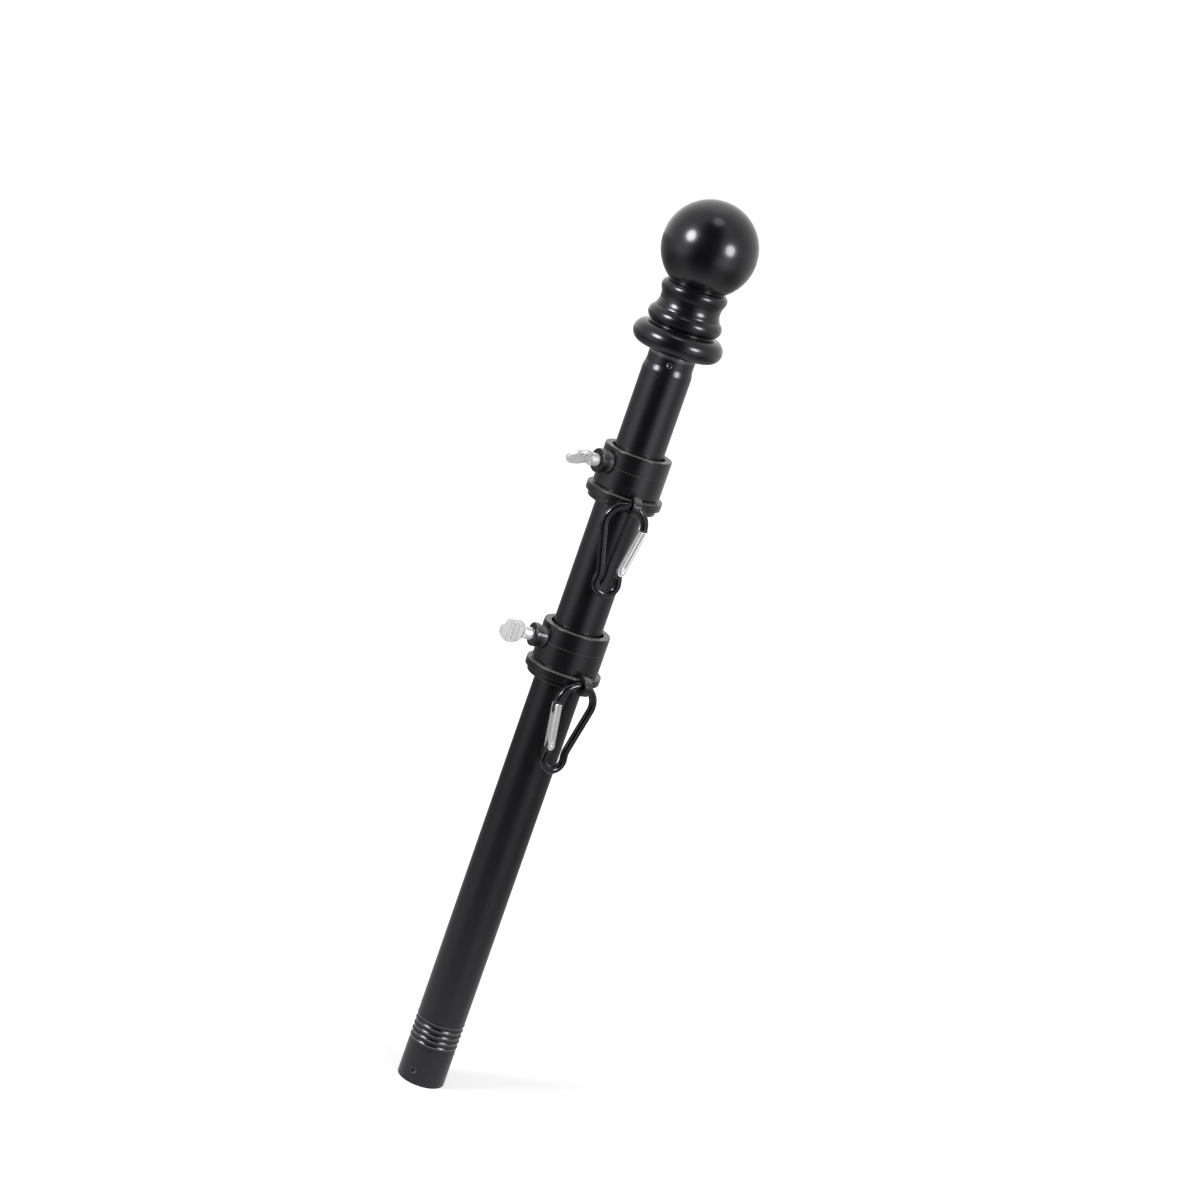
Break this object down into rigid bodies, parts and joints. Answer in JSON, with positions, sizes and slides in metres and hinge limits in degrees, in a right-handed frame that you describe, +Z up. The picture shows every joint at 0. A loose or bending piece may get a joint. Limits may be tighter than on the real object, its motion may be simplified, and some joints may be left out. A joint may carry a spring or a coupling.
{
  "type": "flagpole top section",
  "caption": "Slim black flagpole section with a ball finial and sliding ring clamps, each with a thumb screw and a snap hook on a spinning ring.",
  "frame": {"origin": "centre of the tube's flat bottom face", "axes": "+Z up along the tube, -Y towards the side that the snap hooks face, +X to the right from there"},
  "size_m": [0.061, 0.0523, 0.4839],
  "materials": {
    "tube_paint": "satin black powder coat",
    "sleeve_plastic": "matt black moulded plastic",
    "finial_gloss": "gloss black",
    "clamp_plastic": "semi-matt black moulded plastic",
    "hook_black": "gloss black",
    "gate_metal": "bright brushed metal",
    "screw_metal": "bright plated metal"
  },
  "bodies": {
    "pole": {"pole_tube": "tube_paint", "coupling_sleeve": "sleeve_plastic", "finial_turning": "finial_gloss", "finial_ball": "finial_gloss"},
    "upper_clamp": {"upper_collar": "clamp_plastic", "upper_boss": "clamp_plastic", "upper_retainer": "clamp_plastic"},
    "upper_swivel": {"upper_ring": "clamp_plastic", "upper_lug": "clamp_plastic"},
    "upper_snap_hook": {"upper_hook": "hook_black", "upper_gate_pin": "gate_metal"},
    "upper_snap_gate": {"upper_gate": "gate_metal"},
    "upper_thumb_screw": {"upper_screw": "screw_metal", "upper_grip": "screw_metal"},
    "lower_clamp": {"lower_collar": "clamp_plastic", "lower_boss": "clamp_plastic", "lower_retainer": "clamp_plastic"},
    "lower_swivel": {"lower_ring": "clamp_plastic", "lower_lug": "clamp_plastic"},
    "lower_snap_hook": {"lower_hook": "hook_black", "lower_gate_pin": "gate_metal"},
    "lower_snap_gate": {"lower_gate": "gate_metal"},
    "lower_thumb_screw": {"lower_screw": "screw_metal", "lower_grip": "screw_metal"}
  },
  "joints": [
    {"name": "upper_clamp_slide", "type": "slide", "parent": "pole", "child": "upper_clamp", "axis": [0, 0, 1], "range_m": [-0.012, 0.042]},
    {"name": "upper_screw_turn", "type": "hinge", "parent": "upper_clamp", "child": "upper_thumb_screw", "pos_m": [-0.01576, -0.01231, 0.3449], "axis": [-0.788, -0.6157, 0], "continuous": true},
    {"name": "upper_ring_spin", "type": "hinge", "parent": "upper_clamp", "child": "upper_swivel", "pos_m": [0, 0, 0.3299], "axis": [0, 0, 1], "continuous": true},
    {"name": "upper_hook_swing", "type": "hinge", "parent": "upper_swivel", "child": "upper_snap_hook", "pos_m": [0.00697, -0.02145, 0.3299], "axis": [-0.9511, -0.309, 0], "range_deg": [-3, 85]},
    {"name": "upper_gate_open", "type": "hinge", "parent": "upper_snap_hook", "child": "upper_snap_gate", "pos_m": [0.01105, -0.02012, 0.29647], "axis": [0.309, -0.9511, 0], "range_deg": [0, 25], "stiffness_Nm_per_rad": 0.03, "springref_deg": -8.59},
    {"name": "lower_clamp_slide", "type": "slide", "parent": "pole", "child": "lower_clamp", "axis": [0, 0, 1], "range_m": [-0.18, 0.003]},
    {"name": "lower_screw_turn", "type": "hinge", "parent": "lower_clamp", "child": "lower_thumb_screw", "pos_m": [-0.01782, -0.00908, 0.2494], "axis": [-0.891, -0.454, 0], "continuous": true},
    {"name": "lower_ring_spin", "type": "hinge", "parent": "lower_clamp", "child": "lower_swivel", "pos_m": [0, 0, 0.2344], "axis": [0, 0, 1], "continuous": true},
    {"name": "lower_hook_swing", "type": "hinge", "parent": "lower_swivel", "child": "lower_snap_hook", "pos_m": [0.01277, -0.01858, 0.2344], "axis": [-0.8241, -0.5664, 0], "range_deg": [-3, 85]},
    {"name": "lower_gate_open", "type": "hinge", "parent": "lower_snap_hook", "child": "lower_snap_gate", "pos_m": [0.0062, -0.0231, 0.20092], "axis": [-0.5664, 0.8241, 0], "range_deg": [0, 25], "stiffness_Nm_per_rad": 0.03, "springref_deg": -8.59}
  ]
}
